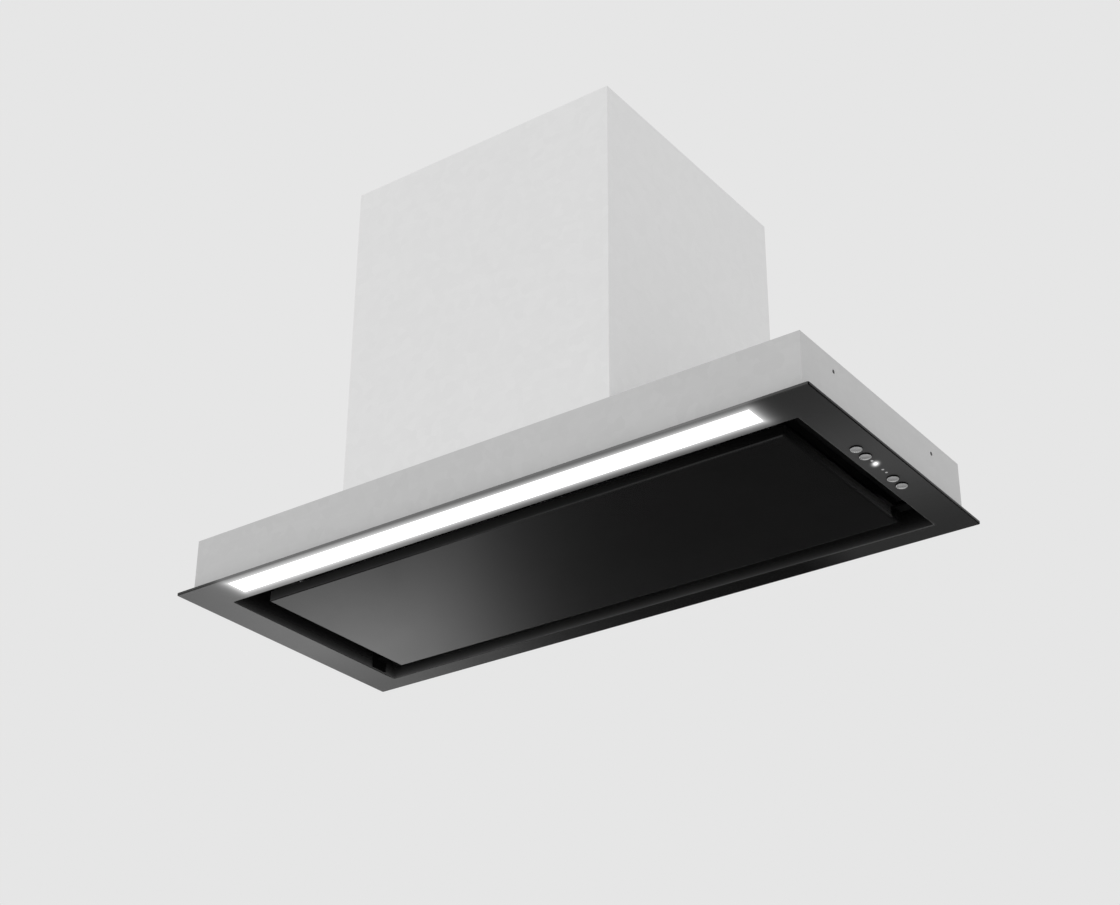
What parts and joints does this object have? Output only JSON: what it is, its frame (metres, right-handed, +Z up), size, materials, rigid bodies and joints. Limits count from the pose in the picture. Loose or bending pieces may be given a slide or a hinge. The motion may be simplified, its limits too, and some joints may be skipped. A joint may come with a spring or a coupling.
{
  "type": "range hood",
  "caption": "Built-in canopy hood with a black bottom frame, hinged perimeter suction panel, front light strip and push buttons under a shallow casing and a central motor tower.",
  "frame": {"origin": "centre of the seat plane, where the bottom frame's lip meets the cabinet's underside", "axes": "+X to the right seen from the front, +Y to the back, +Z up"},
  "size_m": [0.798, 0.35, 0.5025],
  "materials": {
    "black_enamel": "satin black",
    "zinc_sheet": "pale zinc-coated sheet",
    "tower_sheet": "pale zinc-coated sheet",
    "filter_aluminium": "satin",
    "button_chrome": "polished",
    "lamp_opal": "opal, lit",
    "indicator_clear": "clear light guide",
    "bright_steel": "bright zinc",
    "black_plastic": "fine grain",
    "grey_plastic": "moulded",
    "circuit_board": "green laminate",
    "lamp_chip": "phosphor",
    "seal_rubber": "matt",
    "motor_black": "matt",
    "capacitor_can": "white can"
  },
  "bodies": {
    "root": {"bottom_frame": "black_enamel", "flange_gasket": "seal_rubber", "lower_casing_wrap": "zinc_sheet", "lower_casing_side_left": "zinc_sheet", "lower_casing_side_right": "zinc_sheet", "tower_wrap": "tower_sheet", "tower_rear_panel": "tower_sheet", "tower_top_panel": "tower_sheet", "filter_carrier": "black_enamel", "filter_frame_left": "filter_aluminium", "filter_frame_right": "filter_aluminium", "filter_mesh_left": "filter_aluminium", "filter_mesh_right": "filter_aluminium", "hinge_bracket_left": "black_enamel", "hinge_bracket_right": "black_enamel", "hinge_pins": "black_enamel", "catch_magnets": "black_plastic", "magnet_brackets": "black_enamel", "led_diffuser": "lamp_opal", "led_channel": "filter_aluminium", "led_board": "circuit_board", "led_chips": "lamp_chip", "button_guide": "black_plastic", "indicator_lights": "indicator_clear", "control_board": "circuit_board", "push_switches": "black_plastic", "scroll_half_left": "grey_plastic", "scroll_half_right": "grey_plastic", "motor_body": "motor_black", "motor_spider": "zinc_sheet", "motor_grommets": "seal_rubber", "blower_hanger_front": "zinc_sheet", "blower_hanger_rear": "zinc_sheet", "outlet_duct": "grey_plastic", "exhaust_collar": "black_plastic", "flap_axle": "bright_steel", "electronics_box": "black_plastic", "electronics_lid": "black_plastic", "power_board": "circuit_board", "cable_gland": "seal_rubber", "capacitor": "capacitor_can", "capacitor_clip": "black_plastic", "casing_screws": "bright_steel", "blower_screws": "bright_steel"},
    "panel": {"suction_panel": "black_enamel", "panel_liner": "black_enamel", "panel_hinge_bosses": "bright_steel", "catch_plates": "bright_steel"},
    "impeller": {"impeller": "grey_plastic", "motor_shaft": "bright_steel"},
    "flap_left": {"damper_flap_left": "black_plastic"},
    "flap_right": {"damper_flap_right": "black_plastic"},
    "latch_left": {"filter_latch_left": "black_plastic"},
    "latch_right": {"filter_latch_right": "black_plastic"},
    "button_1": {"button_1": "button_chrome"},
    "button_2": {"button_2": "button_chrome"},
    "button_3": {"button_3": "button_chrome"},
    "button_4": {"button_4": "button_chrome"}
  },
  "joints": [
    {"name": "panel_hinge", "type": "hinge", "parent": "root", "child": "panel", "pos_m": [0, 0.12, 0.0055], "axis": [1, 0, 0], "range_deg": [0, 90]},
    {"name": "button_1_press", "type": "slide", "parent": "root", "child": "button_1", "axis": [0, 0, 1], "range_m": [0, 0.001], "stiffness_N_per_m": 400, "springref_m": -0.0005},
    {"name": "button_2_press", "type": "slide", "parent": "root", "child": "button_2", "axis": [0, 0, 1], "range_m": [0, 0.001], "stiffness_N_per_m": 400, "springref_m": -0.0005},
    {"name": "button_3_press", "type": "slide", "parent": "root", "child": "button_3", "axis": [0, 0, 1], "range_m": [0, 0.001], "stiffness_N_per_m": 400, "springref_m": -0.0005},
    {"name": "button_4_press", "type": "slide", "parent": "root", "child": "button_4", "axis": [0, 0, 1], "range_m": [0, 0.001], "stiffness_N_per_m": 400, "springref_m": -0.0005},
    {"name": "impeller_spin", "type": "hinge", "parent": "root", "child": "impeller", "pos_m": [0, -0.011, 0.23], "axis": [1, 0, 0], "continuous": true},
    {"name": "flap_left_lift", "type": "hinge", "parent": "root", "child": "flap_left", "pos_m": [0, 0.06, 0.45975], "axis": [0, 1, 0], "range_deg": [0, 80], "stiffness_Nm_per_rad": 0.01, "springref_deg": -17.19},
    {"name": "flap_right_lift", "type": "hinge", "parent": "root", "child": "flap_right", "pos_m": [0, 0.06, 0.45975], "axis": [0, -1, 0], "range_deg": [0, 80], "stiffness_Nm_per_rad": 0.01, "springref_deg": -17.19},
    {"name": "filter_latch_left_slide", "type": "slide", "parent": "root", "child": "latch_left", "axis": [0, 1, 0], "range_m": [0, 0.0045], "stiffness_N_per_m": 300, "springref_m": -0.004},
    {"name": "filter_latch_right_slide", "type": "slide", "parent": "root", "child": "latch_right", "axis": [0, 1, 0], "range_m": [0, 0.0045], "stiffness_N_per_m": 300, "springref_m": -0.004}
  ]
}
